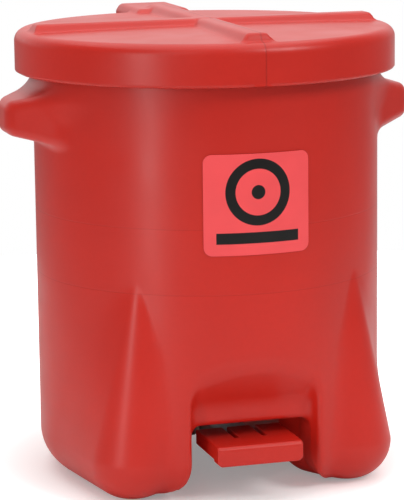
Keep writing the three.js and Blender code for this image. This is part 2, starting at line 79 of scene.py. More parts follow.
def colour(name, description, code):
    """A colour, given as sRGB hex."""
    return FloatVectorProperty(
        name=name, description=description, default=linear(code), size=3, min=0.0, max=1.0, subtype="COLOR"
    )


# ---- places that the frame gives
CAN_LOW, CAN_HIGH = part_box("can_body")
LID_LOW, LID_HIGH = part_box("lid_shell")
PEDAL_LOW, PEDAL_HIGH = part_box("foot_pedal")
LABEL_LOW, LABEL_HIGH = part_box("label")
JOINTS = {joint["name"]: Vector(joint["pos_m"]) for joint in frame["joints"]}
HINGE = JOINTS["lid_hinge"]
PIVOT = JOINTS["pedal_pivot"]
ROD_FOOT = JOINTS["lift_rod_swivel"]
HINGE_REACH = 0.192  # from the can's axis back to the hinge
AXIS_Y = HINGE.y - HINGE_REACH  # the can's own axis stands at x = 0
LIP_R = AXIS_Y - CAN_LOW.y
RIM_Z = CAN_HIGH.z
LID_R = AXIS_Y - LID_LOW.y
LID_SKIRT = LID_LOW.z
HOOD_BACK = LID_HIGH.y - AXIS_Y


# ---- settings
class CanSettings(bpy.types.PropertyGroup):
    """Sizes and colours of the can and its label."""

    radius: length("Radius", "Outside radius of the barrel", 0.150)
    wall: length("Wall", "Thickness of the moulded wall", 0.004)
    base_roll: length("Base roll", "Radius that turns the wall into the floor", 0.036)
    foot_x: length("Foot x", "Distance of a foot's axis from the middle", 0.096)
    foot_y: length("Foot y", "Distance of a foot's axis in front of the can's axis", 0.094)
    foot_radius: length("Foot radius", "Radius of a foot where it is widest", 0.040)
    foot_top_radius: length("Foot top radius", "Radius of a foot where it fades into the barrel", 0.016)
    foot_top: length("Foot top", "Height where a foot fades into the barrel", 0.184)
    foot_lean: angle("Foot lean", "Turn of a foot's top towards the front", 5.5)
    recess_face: length("Recess depth", "Distance of the recess's face in front of the axis", 0.125)
    recess_half: length("Recess half width", "Half width of the recess at its face", 0.053)
    recess_edge: length("Recess edge", "Height where the recess's face turns into its ceiling", 0.081)
    tunnel_half: length("Tunnel half width", "Half width of the lever's tunnel", 0.0415)
    mouth_widening: length("Mouth widening", "Widening of the tunnel at its front, on each side", 0.0115)
    tunnel_height: length("Tunnel height", "Height of the lever's tunnel", 0.064)
    lip_height: length("Lip height", "Height of the lip around the mouth", 0.006)
    fine_step: length("Fine step", "Mesh size of the outside", 0.0028)
    coarse_step: length("Coarse step", "Mesh size of the inside", 0.005)
    red: colour("Red", "Colour of the moulded polyethylene", "#cd271b")
    label: colour("Label", "Colour of the label's vinyl", "#fb5457")
    ink: colour("Ink", "Colour of the print on the label", "#0a0706")


class LidSettings(bpy.types.PropertyGroup):
    """Sizes of the lid."""

    crown: length("Crown", "Fall of the top from its centre to its edge", 0.002)
    edge_round: length("Edge round", "Radius between the top and the skirt", 0.009)
    rib_height: length("Rib height", "Height of the ribs over the middle of the lid", 0.006)
    rib_top_half: length("Rib top half width", "Half width of a rib's top", 0.008)
    rib_base_half: length("Rib base half width", "Half width of a rib's foot", 0.0135)
    rib_reach: length("Rib reach", "Distance of a rib's end from the lid's middle", 0.150)
    hood_half: length("Hood half width", "Half width of the hood over the hinge", 0.027)
    hood_front: length("Hood front", "Distance of the hood's front edge from the lid's middle", 0.132)
    hood_drop: length("Hood drop", "How far the hood's top lies below the ribs", 0.0028)
    cheek: length("Cheek", "Thickness of the hood's sides", 0.006)
    fine_step: length("Fine step", "Mesh size of the outside", 0.002)
    coarse_step: length("Coarse step", "Mesh size of the inside", 0.004)


class PedalSettings(bpy.types.PropertyGroup):
    """Sizes of the pedal's tread."""

    block_depth: length("Block depth", "Depth of the front block", 0.013)
    step_up: length("Step up", "Height of the tread's underside over the block's", 0.004)
    chamfer: length("Chamfer", "Chamfer along the front edge", 0.0025)
    slot_width: length("Slot width", "Width of the two slots", 0.004)
    slot_depth: length("Slot depth", "Depth of the two slots", 0.0045)
    slot_start: length("Slot start", "Distance of the slots' front ends from the front face", 0.029)
    mesh_step: length("Mesh step", "Mesh size", 0.0011)


class HardwareSettings(bpy.types.PropertyGroup):
    """Sizes and colours of the metal and nylon pieces."""

    edge: length("Edge", "Radius left on the sheet's edges by deburring", 0.0004)
    pin_radius: length("Pin radius", "Radius of the hinge pin and the axle", 0.004)
    wire_radius: length("Wire radius", "Radius of the lift rod", 0.003)
    wire_bend: length("Wire bend", "Radius of the lift rod's bends", 0.005)
    turned_steps: IntProperty(
        name="Turned steps", description="Facets around a turned piece", default=28, min=8
    )
    zinc: colour("Zinc", "Colour of the zinc plating", "#c3c6c9")
    spring: colour("Spring steel", "Colour of the push nuts", "#6d6e72")
    aluminium: colour("Aluminium", "Colour of the rivets", "#d4d6d8")
    nylon: colour("Nylon", "Colour of the bushes", "#ece8dc")


class StageSettings(bpy.types.PropertyGroup):
    """Camera, floor and lights."""

    azimuth: angle("Azimuth", "Turn of the camera to the left of the front", 16.5)
    pitch: angle("Pitch", "How far the camera looks down", 10.61)
    roll: angle("Roll", "Lean of the camera", -0.68)
    distance: length("Distance", "Camera to the can's axis", 2.156)
    aim_height: length("Aim height", "Height on the can's axis that the camera looks at", 0.190)
    focal: FloatProperty(name="Focal length", description="Focal length for a 36 mm sensor, in millimetres",
                         default=175.8, min=10.0)
    shift: FloatProperty(name="Shift", description="Sideways shift of the frame", default=-0.0099)
    floor_radius: length("Floor radius", "Radius of the floor's disc", 1.0)
    floor: colour("Floor", "Colour of the floor", "#f7f7f6")


# ---- distance fields
# A field is negative inside a solid and gives the distance to its surface near it.
def round_max(a, b, radius):
    """Where two solids overlap, with their common edge rounded."""
    inside = np.minimum(np.maximum(a, b), -radius)
    return inside + np.hypot(np.maximum(a + radius, 0.0), np.maximum(b + radius, 0.0))


def round_min(a, b, radius):
    """Two solids joined, with a fillet between them."""
    return -round_max(-a, -b, radius)


def blend_min(a, b, reach):
    """Two solids joined, with a wide and soft transition."""
    near = np.maximum(reach - np.abs(a - b), 0.0)
    return np.minimum(a, b) - near * near / (4 * reach)


def through(u, v, first, second):
    """Distance in a plane from the line through two points, positive on its right side."""
    run = np.subtract(second, first)
    return (run[1] * (u - first[0]) - run[0] * (v - first[1])) / np.hypot(*run)


def ticks(*stretches):
    """Grid positions over stretches that are each (start, end, step)."""
    made = [np.linspace(a, b, max(2, round((b - a) / step) + 1)) for a, b, step in stretches]
    return np.concatenate([made[0]] + [positions[1:] for positions in made[1:]])


def crossings(value, axis):
    """Grid edges along an axis that the surface crosses: their index, how far along, and which way."""
    first = np.moveaxis(value, axis, 0)[:-1]
    second = np.moveaxis(value, axis, 0)[1:]
    found = np.nonzero((first < 0) != (second < 0))
    a, b = first[found], second[found]
    others = [i for i in range(3) if i != axis]
    index = [None] * 3
    index[axis] = found[0]
    index[others[0]], index[others[1]] = found[1], found[2]
    return index, a / (a - b), a < 0


def project(field, points, reach):
    """Moves points onto the surface of a field, each by reach at most."""
    delta = 1e-4
    value = field(*points.T)
    slope = np.stack([
        (field(*(points + step).T) - field(*(points - step).T)) / (2 * delta) for step in np.eye(3) * delta
    ], axis=1)
    size = np.maximum((slope * slope).sum(axis=1), 0.1)
    move = -slope * (value / size)[:, None]
    far = np.linalg.norm(move, axis=1)
    return points + move * np.minimum(1.0, reach / np.maximum(far, 1e-12))[:, None]


def relaxed(points, quads):
    """Moves each point halfway to the middle of its neighbours."""
    pairs = np.concatenate([quads[:, [i, (i + 1) % 4]] for i in range(4)])
    count = np.bincount(pairs[:, 0], minlength=len(points))
    count = count + np.bincount(pairs[:, 1], minlength=len(points))
    total = np.stack([
        np.bincount(pairs[:, 0], points[pairs[:, 1], i], len(points))
        + np.bincount(pairs[:, 1], points[pairs[:, 0], i], len(points)) for i in range(3)
    ], axis=1)
    return (points + total / np.maximum(count, 1)[:, None]) / 2


def surface(field, grid, passes=3):
    """Points and quads of a field's surface: one point for each grid cell that the surface crosses."""
    value = field(*np.meshgrid(*grid, indexing="ij"))
    cells = tuple(n - 1 for n in value.shape)
    total = np.zeros((int(np.prod(cells)), 3))
    count = np.zeros(len(total))
    faces = []
    for axis in range(3):
        u, v = (axis + 1) % 3, (axis + 2) % 3
        index, along, rising = crossings(value, axis)
        place = [grid[i][index[i]] for i in range(3)]
        step = np.diff(grid[axis])
        place[axis] = grid[axis][index[axis]] + along * step[index[axis]]
        corners = []
        for du, dv in ((1, 1), (0, 1), (0, 0), (1, 0)):
            cell = list(index)
            cell[u] = index[u] - du
            cell[v] = index[v] - dv
            flat = np.ravel_multi_index(cell, cells, mode="clip")
            corners.append(flat)
            count += np.bincount(flat, minlength=len(total))
            for i in range(3):
                total[:, i] += np.bincount(flat, place[i], len(total))
        quad = np.stack(corners, axis=1)
        faces.append(np.where(rising[:, None], quad, quad[:, ::-1]))
    used = np.nonzero(count)[0]
    points = total[used] / count[used][:, None]
    number = np.full(len(total), -1)
    number[used] = np.arange(len(used))
    quads = number[np.concatenate(faces)]
    reach = min(float(np.diff(axis_ticks).min()) for axis_ticks in grid)
    for _ in range(passes):
        points = project(field, relaxed(points, quads), reach)
    return project(field, points, reach), quads


# ---- meshes
def placed(name, data):
    """A new object in the scene."""
    made = bpy.data.objects.new(name, data)
    bpy.context.scene.collection.objects.link(made)
    return made


def from_lists(name, points, faces, smooth_below=180.0):
    """A mesh object, smooth except at edges that turn by more than the given degrees."""
    mesh = bpy.data.meshes.new(name)
    mesh.from_pydata(np.asarray(points).tolist(), [], np.asarray(faces).tolist())
    made = placed(name, mesh)
    shade(made, smooth_below)
    return made


def modelled(name, form, settings, grid, smooth_below=180.0):
    """The surface of a form, which is a distance field that takes settings."""
    return from_lists(name, *surface(lambda x, y, z: form(settings, x, y, z), grid), smooth_below)


def shade(piece, smooth_below):
    """Smooths a piece's faces and keeps its sharp edges."""
    piece.data.shade_smooth()
    if smooth_below < 180.0:
        piece.data.set_sharp_from_angle(angle=math.radians(smooth_below))


def applied(piece):
    """Turns a piece's modifiers into plain mesh."""
    evaluated = piece.evaluated_get(bpy.context.evaluated_depsgraph_get())
    mesh = bpy.data.meshes.new_from_object(evaluated)
    piece.modifiers.clear()
    old = piece.data
    piece.data = mesh
    bpy.data.meshes.remove(old)
    mesh.name = piece.name
    return piece


def hollowed(outside, inside):
    """Cuts the inside solid out of the outside one."""
    cut = outside.modifiers.new("Hollow", "BOOLEAN")
    cut.operation = "DIFFERENCE"
    cut.solver = "MANIFOLD"
    cut.object = inside
    applied(outside)
    bpy.data.objects.remove(inside)
    return outside


def deburred(source, name, edge):
    """A copy of a CAD node with its facets merged and its edges rounded."""
    mesh = frame["nodes"][source].data.copy()
    work = bmesh.new()
    work.from_mesh(mesh)
    bmesh.ops.remove_doubles(work, verts=work.verts, dist=2e-6)
    bmesh.ops.dissolve_limit(work, angle_limit=math.radians(0.5), verts=work.verts, edges=work.edges)
    work.to_mesh(mesh)
    work.free()
    mesh.name = name
    mesh.materials.clear()
    made = placed(name, mesh)
    bevel = made.modifiers.new("Deburr", "BEVEL")
    bevel.width = edge
    bevel.segments = 2
    bevel.limit_method = "ANGLE"
    bevel.angle_limit = math.radians(35)
    applied(made)
    shade(made, 32.0)
    return made


def settle(piece, body, slot, material, *replaced):
    """Gives a finished piece its material and its body, and hides the CAD nodes that it stands for. The
    slot is not used.
    """
    piece.data.materials.clear()
    piece.data.materials.append(material)
    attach(piece, body)
    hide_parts(*replaced)
    return piece


# ---- node trees
def feed(tree, node, inputs):
    """Links or sets a node's inputs, which are given by name or number."""
    for key, value in inputs.items():
        if isinstance(value, bpy.types.NodeSocket):
            tree.links.new(value, node.inputs[key])
        else:
            node.inputs[key].default_value = value


def add(tree, kind, inputs=None, **settings):
    """Adds a node with its inputs and settings."""
    made = tree.nodes.new(kind)
    for name, value in settings.items():
        setattr(made, name, value)
    feed(tree, made, inputs or {})
    return made


def material(name):
    """A new material, with its tree, its shader and its object coordinates in metres."""
    made = bpy.data.materials.new(name)
    made.use_nodes = True
    tree = made.node_tree
    shader = tree.nodes["Principled BSDF"]
    place = add(tree, "ShaderNodeTexCoord").outputs["Object"]
    return made, tree, shader, place


def calc(tree, operation, *values):
    """The result of a sum on numbers or sockets."""
    return add(tree, "ShaderNodeMath", dict(enumerate(values)), operation=operation).outputs[0]


def remap(tree, value, start, end, low, high, kind="LINEAR"):
    """Carries a value from one range to another, and holds it at the ends."""
    inputs = {"Value": value, "From Min": start, "From Max": end, "To Min": low, "To Max": high}
    return add(tree, "ShaderNodeMapRange", inputs, interpolation_type=kind).outputs[0]


def noise(tree, place, size, detail=2.0):
    """Noise whose lumps are about size across."""
    inputs = {"Vector": place, "Scale": 1 / size, "Detail": detail}
    return add(tree, "ShaderNodeTexNoise", inputs).outputs[0]


def mottle(tree, place, size, low, high, detail=2.0):
    """Noise, which lies around a half, stretched to a range."""
    return remap(tree, noise(tree, place, size, detail), 0.3, 0.7, low, high)


def mix(tree, factor, first, second):
    """A colour between two others."""
    return add(tree, "ShaderNodeMix", {0: factor, 6: first, 7: second}, data_type="RGBA").outputs[2]


def shaded(base, factor):
    """A colour made darker or lighter by a factor, with full alpha."""
    return tuple(min(1.0, c * factor) for c in base[:3]) + (1.0,)


def bumped(tree, shader, height, distance, strength):
    """Raises and lowers a material's skin by a height."""
    bump = add(tree, "ShaderNodeBump", {"Height": height, "Distance": distance, "Strength": strength})
    tree.links.new(bump.outputs[0], shader.inputs["Normal"])


def moulding_line(tree, place, axis, at, width):
    """One along a thin line across an axis, and none elsewhere."""
    along = add(tree, "ShaderNodeSeparateXYZ", {0: place}).outputs[axis]
    away = calc(tree, "ABSOLUTE", calc(tree, "SUBTRACT", along, at))
    return remap(tree, away, 0.0, width, 1.0, 0.0, "SMOOTHSTEP")


def moulded_polyethylene(name, red, lines=()):
    """Rotationally moulded high-density polyethylene: a waxy satin skin with a faint orange peel, slow
    drifts of colour where the powder melted unevenly, and fine witness lines of the mould. Each line is
    given by its axis, place, width and strength."""
    made, tree, shader, place = material(name)
    drift = mottle(tree, place, 0.11, 0.0, 1.0)
    base = mix(tree, drift, shaded(red, 0.94), shaded(red, 1.06))
    speckle = mottle(tree, place, 0.004, 0.0, 0.16, 3.0)
    base = mix(tree, speckle, base, shaded(red, 0.84))
    height = noise(tree, place, 0.0016, 1.0)
    for axis, at, width, strength in lines:
        line = moulding_line(tree, place, axis, at, width)
        base = mix(tree, calc(tree, "MULTIPLY", line, strength), base, shaded(red, 0.55))
        height = calc(tree, "MULTIPLY_ADD", line, -2.5, height)
    rough = mottle(tree, place, 0.045, 0.33, 0.40)
    feed(tree, shader, {"Base Color": base, "Roughness": rough, "IOR": 1.45})
    bumped(tree, shader, height, 0.00005, 0.55)
    return made


def printed_vinyl(name, vinyl, ink, middle, half_width, half_height):
    """Calendered vinyl with a gloss laminate: even colour, a crisp black print of a plain ring, a dot and
    a bar, and slight ripples where it follows the barrel."""
    made, tree, shader, place = material(name)
    split = add(tree, "ShaderNodeSeparateXYZ", {0: place})
    x = calc(tree, "SUBTRACT", split.outputs[0], middle.x)
    z = calc(tree, "SUBTRACT", split.outputs[2], middle.z)
    print_edge = 0.00012

    def within(value, half):
        """One where a value is nearer to zero than half."""
        size = calc(tree, "ABSOLUTE", value)
        return remap(tree, size, half - print_edge, half + print_edge, 1.0, 0.0)

    mark_z = calc(tree, "SUBTRACT", z, half_height * 0.24)
    flat = add(tree, "ShaderNodeCombineXYZ", {0: x, 1: mark_z}).outputs[0]
    radius = add(tree, "ShaderNodeVectorMath", {0: flat}, operation="LENGTH").outputs["Value"]
    ring = within(calc(tree, "SUBTRACT", radius, half_height * 0.56), half_height * 0.10)
    dot = within(radius, half_height * 0.14)
    bar_z = calc(tree, "ADD", z, half_height * 0.66)
    bar = calc(tree, "MINIMUM", within(x, half_width * 0.78), within(bar_z, half_height * 0.11))
    printed = calc(tree, "MAXIMUM", calc(tree, "MAXIMUM", ring, dot), bar)
    cloud = mottle(tree, place, 0.03, 0.0, 1.0)
    field = mix(tree, cloud, shaded(vinyl, 0.97), shaded(vinyl, 1.04))
    base = mix(tree, printed, field, shaded(ink, 1.0))
    feed(tree, shader, {"Base Color": base, "Roughness": mottle(tree, place, 0.02, 0.30, 0.36)})
    bumped(tree, shader, noise(tree, place, 0.012), 0.0002, 0.25)
    return made


def plated_metal(name, base, grain, rough_low, rough_high, scratch):
    """Metal whose finish shows as patches of slightly different tone and roughness, with fine drawing
    marks. Zinc plating has a cool grey mottle, spring steel an oiled dark one, aluminium a bright one."""
    made, tree, shader, place = material(name)
    patch = mottle(tree, place, grain, 0.0, 1.0, 3.0)
    tone = mix(tree, patch, shaded(base, 0.86), shaded(base, 1.08))
    rough = mottle(tree, place, grain * 0.7, rough_low, rough_high)
    feed(tree, shader, {"Base Color": tone, "Metallic": 1.0, "Roughness": rough})
    drawn = add(tree, "ShaderNodeMapping", {"Vector": place, "Scale": (1.0, 1.0, 0.06)}).outputs[0]
    bumped(tree, shader, noise(tree, drawn, scratch), 0.00004, 0.35)
    return made


def natural_nylon(name, base):
    """Injection-moulded nylon 6: a milky, slightly see-through skin with a soft sheen."""
    made, tree, shader, place = material(name)
    cloud = mottle(tree, place, 0.004, 0.0, 1.0)
    feed(tree, shader, {
        "Base Color": mix(tree, cloud, shaded(base, 0.95), shaded(base, 1.03)),
        "Roughness": mottle(tree, place, 0.003, 0.42, 0.52), "IOR": 1.53,
        "Subsurface Weight": 0.15, "Subsurface Scale": 0.002,
    })
    return made


def lit_floor(name, base):
    """A studio floor of matt white acrylic. To the camera it also glows, except under and near the can."""
    made, tree, shader, place = material(name)
    away = add(tree, "ShaderNodeVectorMath", {0: place}, operation="LENGTH").outputs["Value"]
    seen = add(tree, "ShaderNodeLightPath").outputs["Is Camera Ray"]
    glow = remap(tree, away, 0.14, 0.29, 0.25, 1.0, "SMOOTHSTEP")
    cloud = mottle(tree, place, 0.5, 0.0, 1.0)
    feed(tree, shader, {
        "Base Color": mix(tree, cloud, shaded(base, 0.99), shaded(base, 1.0)), "Roughness": 0.9,
        "Emission Color": (1.0, 1.0, 1.0, 1.0), "Emission Strength": calc(tree, "MULTIPLY", glow, seen),
    })
    return made


MATERIAL_NAMES = {
    "body": "Moulded polyethylene, can",
    "lid": "Moulded polyethylene, lid",
    "pedal": "Moulded polyethylene, pedal",
    "vinyl": "Printed vinyl",
    "zinc": "Zinc-plated steel",
    "spring": "Oiled spring steel",
    "aluminium": "Rivet aluminium",
    "nylon": "Natural nylon",
}


def finish(key):
    """The material of one finish, made the first time that it is asked for."""
    name = MATERIAL_NAMES[key]
    if name in bpy.data.materials:
        return bpy.data.materials[name]
    can = bpy.context.scene.waste_can_body
    metal = bpy.context.scene.waste_can_hardware
    seams = (("Z", 0.2345, 0.0007, 0.25), ("Z", 0.1795, 0.0007, 0.25))
    makers = {
        "body": lambda: moulded_polyethylene(name, can.red, seams),
        "lid": lambda: moulded_polyethylene(name, can.red, (("X", 0.003, 0.0012, 0.6),)),
        "pedal": lambda: moulded_polyethylene(name, can.red),
        "vinyl": lambda: printed_vinyl(name, can.label, can.ink, (LABEL_LOW + LABEL_HIGH) / 2,
                                       (LABEL_HIGH.x - LABEL_LOW.x) / 2, (LABEL_HIGH.z - LABEL_LOW.z) / 2),
        "zinc": lambda: plated_metal(name, metal.zinc, 0.006, 0.28, 0.42, 0.0006),
        "spring": lambda: plated_metal(name, metal.spring, 0.003, 0.30, 0.44, 0.0004),
        "aluminium": lambda: plated_metal(name, metal.aluminium, 0.003, 0.24, 0.36, 0.0004),
        "nylon": lambda: natural_nylon(name, metal.nylon),
    }
    return makers[key]()


# ---- turned pieces by Geometry Nodes
def new_tree(name, sizes):
    """A geometry tree with a geometry input, named size inputs and a geometry output."""
    tree = bpy.data.node_groups.new(name, "GeometryNodeTree")
    tree.interface.new_socket("Geometry", in_out="INPUT", socket_type="NodeSocketGeometry")
    for label, (kind, default) in sizes.items():
        tree.interface.new_socket(label, in_out="INPUT", socket_type=kind).default_value = default
    tree.interface.new_socket("Geometry", in_out="OUTPUT", socket_type="NodeSocketGeometry")
    return tree, tree.nodes.new("NodeGroupInput"), tree.nodes.new("NodeGroupOutput")


def send_out(tree, result, geometry, surface_material):
    """Ends a tree: its copies become real geometry and take their material."""
    real = add(tree, "GeometryNodeRealizeInstances", {0: geometry})
    painted = add(tree, "GeometryNodeSetMaterial", {0: real.outputs[0], "Material": surface_material})
    tree.links.new(painted.outputs[0], result.inputs[0])
    return tree


def profile_curve(tree, factor, heights):
    """A curve node that passes through evenly spaced values with straight lines between them."""
    made = add(tree, "ShaderNodeFloatCurve", {"Value": factor})
    curve = made.mapping.curves[0]
    last = len(heights) - 1
    curve.points[0].location = (0.0, heights[0])
    curve.points[1].location = (1.0, heights[-1])
    for i, height in enumerate(heights[1:-1], 1):
        curve.points.new(i / last, height)
    for point in curve.points:
        point.handle_type = "VECTOR"
    made.mapping.update()
    return made.outputs[0]


def turned_tree(name, profile, surface_material):
    """A tree that turns a profile about Z and puts a copy on each point, along its facing attribute.
    The profile is given as shares of the radius and of the way from low to high."""
    tree, given, result = new_tree(name, {
        "Radius": ("NodeSocketFloat", 0.005), "Low": ("NodeSocketFloat", 0.0),
        "High": ("NodeSocketFloat", 0.002), "Steps": ("NodeSocketInt", 24),
    })
    columns = calc(tree, "ADD", given.outputs["Steps"], 1.0)
    grid = add(tree, "GeometryNodeMeshGrid", {
        "Size X": 1.0, "Size Y": 1.0, "Vertices X": columns, "Vertices Y": len(profile)
    })
    split = add(tree, "ShaderNodeSeparateXYZ", {0: add(tree, "GeometryNodeInputPosition").outputs[0]})
    angle = calc(tree, "MULTIPLY", split.outputs[0], math.tau)
    along = calc(tree, "ADD", split.outputs[1], 0.5)
    share_r = profile_curve(tree, along, [r for r, _ in profile])
    share_z = profile_curve(tree, along, [z for _, z in profile])
    radius = calc(tree, "MULTIPLY", share_r, given.outputs["Radius"])
    height = remap(tree, share_z, 0.0, 1.0, given.outputs["Low"], given.outputs["High"])
    x, y = (calc(tree, "MULTIPLY", radius, calc(tree, wave, angle)) for wave in ("COSINE", "SINE"))
    place = add(tree, "ShaderNodeCombineXYZ", {0: x, 1: y, 2: height}).outputs[0]
    shaped = add(tree, "GeometryNodeSetPosition", {0: grid.outputs["Mesh"], "Position": place})
    closed = add(tree, "GeometryNodeMergeByDistance", {0: shaped.outputs[0], "Distance": 1e-6})
    facing = add(tree, "GeometryNodeInputNamedAttribute", {"Name": "facing"}, data_type="FLOAT_VECTOR")
    turn = add(tree, "FunctionNodeAlignRotationToVector", {"Vector": facing.outputs[0]}, axis="Z")
    copies = add(tree, "GeometryNodeInstanceOnPoints", {
        "Points": given.outputs["Geometry"], "Instance": closed.outputs[0], "Rotation": turn.outputs[0]
    })
    return send_out(tree, result, copies.outputs[0], surface_material)


def grown(name, points, edges, tree, sizes, attributes=None):
    """Runs a geometry tree on a few points or edges and keeps the result as plain mesh."""
    mesh = bpy.data.meshes.new(name)
    mesh.from_pydata([tuple(p) for p in points], edges, [])
    for label, vectors in (attributes or {}).items():
        stored = mesh.attributes.new(label, "FLOAT_VECTOR", "POINT")
        stored.data.foreach_set("vector", np.array(vectors, np.float32).ravel())
    made = placed(name, mesh)
    modifier = made.modifiers.new("Shape", "NODES")
    modifier.node_group = tree
    sockets = {item.name: item.identifier for item in tree.interface.items_tree if item.in_out == "INPUT"}
    for label, value in sizes.items():
        modifier[sockets[label]] = value
    applied(made)
    shade(made, 30.0)
    return made


# Profiles of turned pieces: shares of the radius, and of the way from low to high.
RIVET_PROFILE = (
    (0.0, 0.0), (0.6, 0.0), (0.78, 0.10), (0.78, 0.27), (0.46, 0.30), (0.46, 0.80), (0.97, 0.80),
    (1.0, 0.825), (0.985, 0.865), (0.88, 0.915), (0.68, 0.965), (0.42, 0.99), (0.26, 0.995), (0.20, 0.96),
    (0.0, 0.955),
)
SCREW_PROFILE = (
    (0.0, 0.0), (0.30, 0.0), (0.34, 0.10), (0.36, 0.0), (0.72, 0.02), (0.90, 0.06), (1.0, 0.12),
    (1.0, 0.165), (0.48, 0.17), (0.48, 0.9), (0.2, 1.0), (0.0, 1.0),
)
NUT_PROFILE = (
    (0.57, 0.0), (0.98, 0.0), (1.0, 0.12), (1.0, 0.38), (0.95, 0.50), (0.82, 0.55), (0.74, 0.85),
    (0.68, 1.0), (0.57, 1.0), (0.57, 0.0),
)
PIN_PROFILE = (
    (0.0, 0.0), (0.82, 0.0), (0.96, 0.012), (1.0, 0.025), (1.0, 0.975), (0.96, 0.988), (0.82, 1.0),
    (0.0, 1.0),
)
BUSH_PROFILE = ((0.53, 0.0), (0.94, 0.0), (1.0, 0.12), (1.0, 0.88), (0.94, 1.0), (0.53, 1.0), (0.53, 0.0))


HARDWARE_SLOTS = {
    "aluminium": "rivet_aluminium", "zinc": "zinc_steel", "spring": "spring_steel", "nylon": "nylon",
}


def turned_group(name, body, nodes, profile, key, places, radius, low, high):
    """A group of like turned pieces in place of CAD nodes, each given by its point and its direction."""
    points, facings = zip(*places)
    steps = bpy.context.scene.waste_can_hardware.turned_steps
    sizes = {"Radius": radius, "Low": low, "High": high, "Steps": steps}
    tree = turned_tree(name, profile, finish(key))
    piece = grown(name, points, [], tree, sizes, {"facing": facings})
    settle(piece, body, HARDWARE_SLOTS[key], finish(key), *nodes)


# ---- the can
CREASE = 0.008  # softness of the crease where a foot's inner side meets the barrel
CREASE_RUN = 0.025  # distance from a foot's axis over which the crease softens
CREASE_FADE = 0.06  # height below a foot's top over which the crease goes away
NARROWEST = 0.001  # radius that keeps a foot's circle real above its top
EAR_ROOT_X = 0.112  # the ears' shapes start here, inside the barrel's wall
# An ear's slanted sides: their place at its outer end, and a point further in (from the middle, place).
EAR_FRONT = (0.020, (0.135, 0.060))
EAR_TOP = (0.331, (0.150, 0.339))
EAR_BOTTOM = (0.3035, (0.150, 0.297))


def footprint(can, x, y, z):
    """The can's outline at each height, seen from above: the barrel, its feet and their flat webs."""
    barrel = np.hypot(x, y) - can.radius
    run = math.hypot(can.foot_x, can.foot_y)
    taper = (can.foot_radius - can.foot_top_radius) / (can.foot_top - can.base_roll)
    foot_r = np.maximum(can.foot_radius - np.maximum(z - can.base_roll, 0.0) * taper, NARROWEST)
    fade = np.clip((can.foot_top - z) / CREASE_FADE, 0.0, 1.0)
    lean = (can.radius - foot_r) / run
    flat = np.sqrt(np.maximum(1 - lean * lean, 1e-6))
    shape = barrel
    turn = math.atan2(can.foot_x, can.foot_y) - can.foot_lean * np.clip(z / can.foot_top, 0.0, 1.0)
    for side in (-1, 1):
        out = side * np.sin(turn) * x - np.cos(turn) * y
        across = side * np.cos(turn) * x + np.sin(turn) * y  # positive on the foot's outer side
        foot = np.hypot(across, out - run) - foot_r
        place = flat * out - lean * across
        web = np.where(place < 0, barrel, flat * across + lean * out - can.radius)
        web = np.where(place > flat * run, foot, web)
        crease = CREASE * fade * np.clip(-across / CREASE_RUN, 0.0, 1.0) + 1e-5
        one_foot = np.where(across > 0, web, blend_min(barrel, foot, crease))
        shape = np.minimum(shape, one_foot)
    return shape


def ears(x, y, z):
    """The two carrying ears."""
    reach = CAN_HIGH.x
    out = np.abs(x)
    front = through(out, np.abs(y), (reach, EAR_FRONT[0]), EAR_FRONT[1])
    top = through(out, z, (reach, EAR_TOP[0]), EAR_TOP[1])
    bottom = -through(out, z, (reach, EAR_BOTTOM[0]), EAR_BOTTOM[1])
    block = round_max(np.maximum(top, bottom), front, radius=0.008)
    return np.maximum(round_max(block, out - reach, radius=0.007), EAR_ROOT_X - out)


def pedal_space(can, x, y, z):
    """The recess in front and the tunnel through the can, which are both removed."""
    depth = y + can.recess_face
    flare = 0.20  # widening of the recess for each metre towards the front
    upright = 0.98  # makes the flared sides' field a true distance
    side = (np.abs(x) - can.recess_half - np.maximum(-depth, 0.0) * flare) * upright
    slope = 1.45  # rise of the recess's ceiling for each metre towards the front
    ceiling = (z - can.recess_edge + slope * depth) / math.hypot(1.0, slope)
    recess = round_max(round_max(depth, ceiling, radius=0.004), side, radius=0.008)
    mouth_start, mouth_length = 0.075, 0.020
    mouth = can.mouth_widening * np.clip((-mouth_start - y) / mouth_length, 0.0, 1.0)
    tunnel = round_max(np.abs(x) - can.tunnel_half - mouth, z - can.tunnel_height, radius=0.009)
    return recess, tunnel


def can_form(can, x, y, z):
    """The can's outside without its lip, endless upwards."""
    recess, tunnel = pedal_space(can, x, y, z)
    body = round_max(footprint(can, x, y, z), -recess, radius=0.005)
    body = round_max(body, -tunnel, radius=0.0035)
    body = round_max(body, -z, can.base_roll)
    below, above, middle, run = 0.006, 0.016, 0.315, 0.02  # softness under and over the ears' middle
    soft = below + (above - below) * np.clip((z - middle) / run, 0.0, 1.0)
    return blend_min(body, ears(x, y, z), soft)


def can_outside(can, x, y, z):
    """The outer solid of the can, with the lip around its mouth."""
    y = y - AXIS_Y
    around = np.hypot(x, y)
    lip_slope = 0.5  # rise of the lip's underside towards the wall, for each metre
    under = (RIM_Z - can.lip_height - z) + np.maximum(LIP_R - around, 0.0) * lip_slope
    true_distance = 0.9  # turns the height under the sloping underside into a distance
    ring = round_max(around - LIP_R, under * true_distance, radius=0.0015)
    notch_half, notch_start = 0.020, 0.1  # the lip stops where the hinge bracket stands
    notch = np.maximum(np.abs(x) - notch_half, notch_start - y)
    ring = np.maximum(ring, -np.maximum(notch, can.radius - around))
    ring_depth = 0.004  # how far the lip's ring reaches into the wall
    ring = np.maximum(ring, can.radius - ring_depth - around)
    body = round_min(can_form(can, x, y, z), ring, radius=0.002)
    return round_max(body, z - RIM_Z, radius=0.0015)


